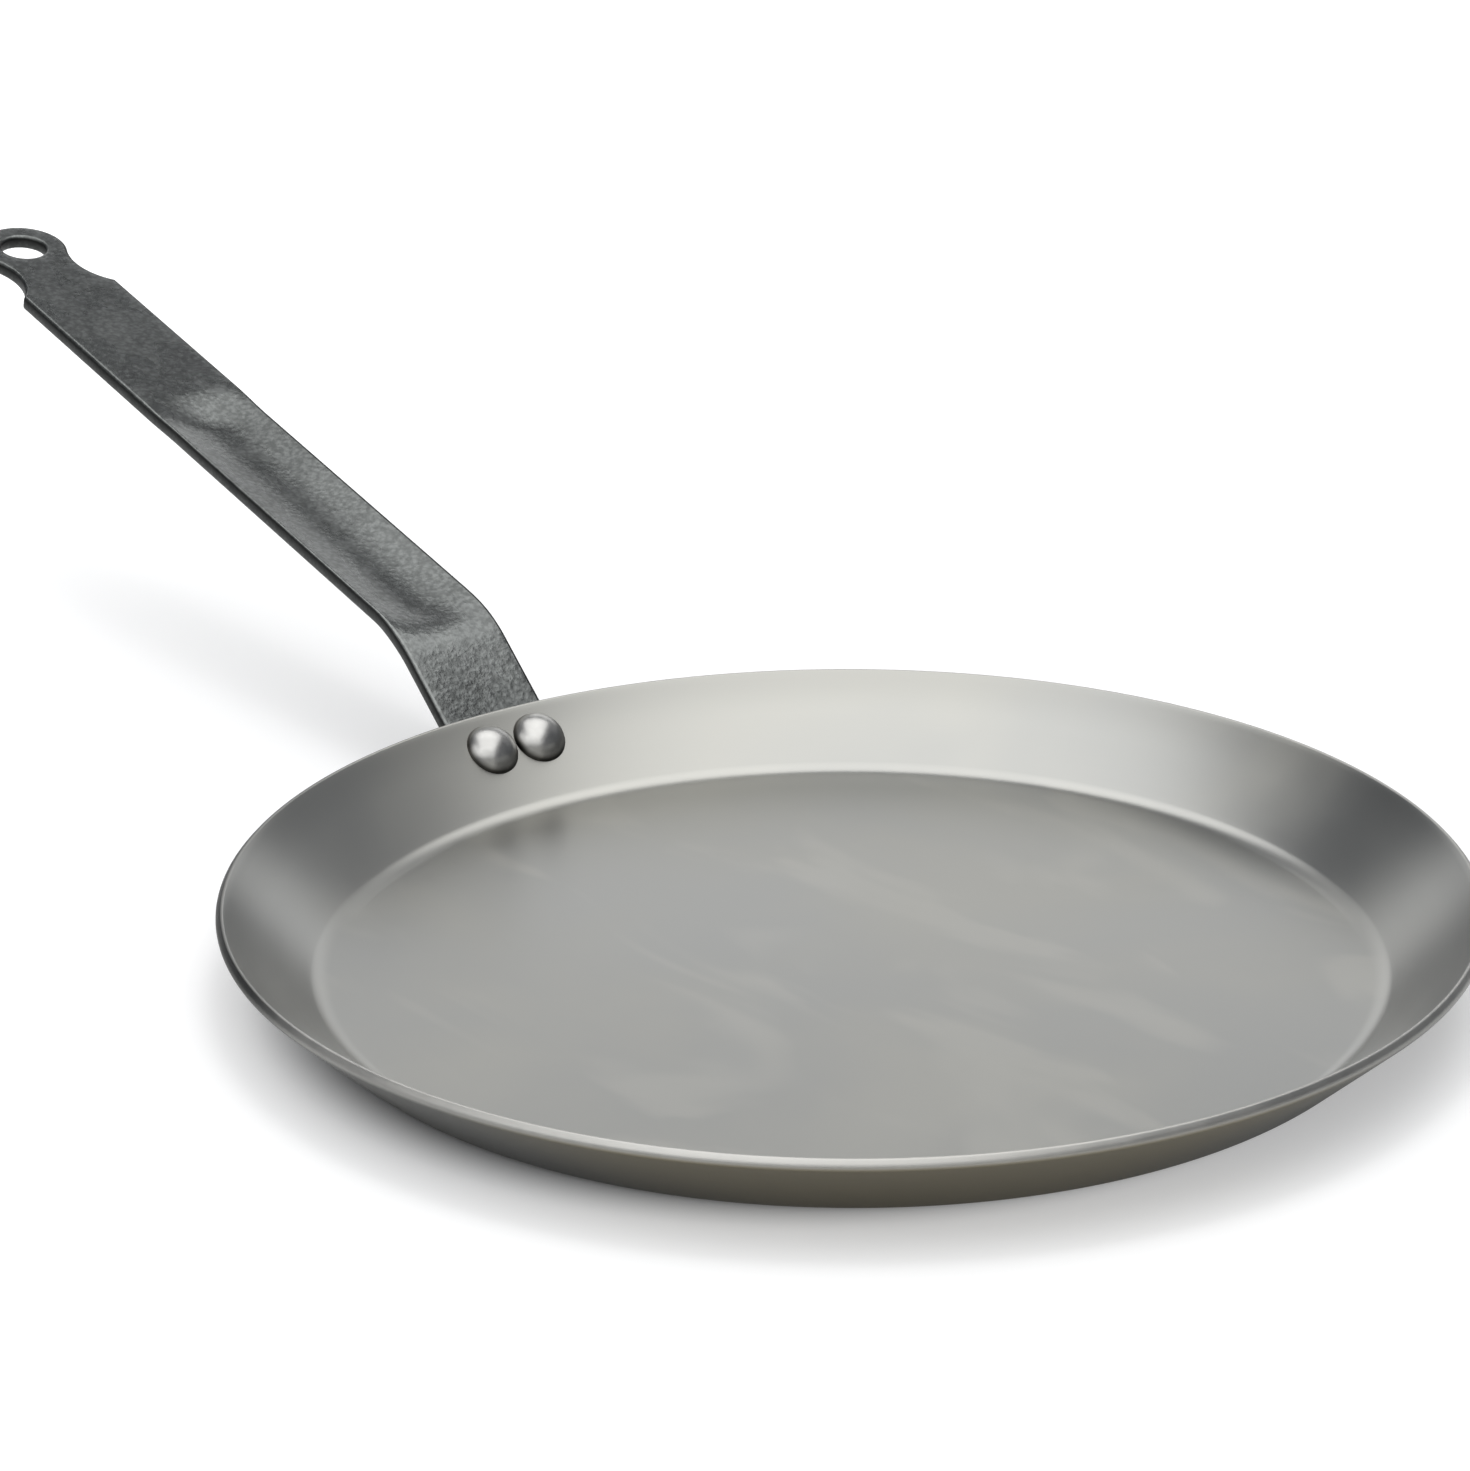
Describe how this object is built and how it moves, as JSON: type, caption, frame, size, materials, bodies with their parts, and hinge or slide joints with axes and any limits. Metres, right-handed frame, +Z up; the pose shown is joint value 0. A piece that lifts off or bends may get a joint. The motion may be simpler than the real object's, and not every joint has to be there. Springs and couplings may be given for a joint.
{
  "type": "crepe pan",
  "caption": "Low round steel crepe pan with a flat floor, a sloping wall and a long riveted strip handle with a hanging eye.",
  "frame": {"origin": "centre of the base, on the plane that the pan rests on", "axes": "+Z up out of the pan, +X along the handle towards its hanging eye, +Y to the left of the handle"},
  "size_m": [0.4758, 0.26, 0.0822],
  "materials": {
    "pan_steel": "satin bare carbon steel",
    "handle_steel": "dark grey, fine grained",
    "rivet_steel": "polished"
  },
  "bodies": {
    "root": {"pan_body": "pan_steel", "handle": "handle_steel", "rivet_left": "rivet_steel", "rivet_right": "rivet_steel"}
  },
  "joints": []
}
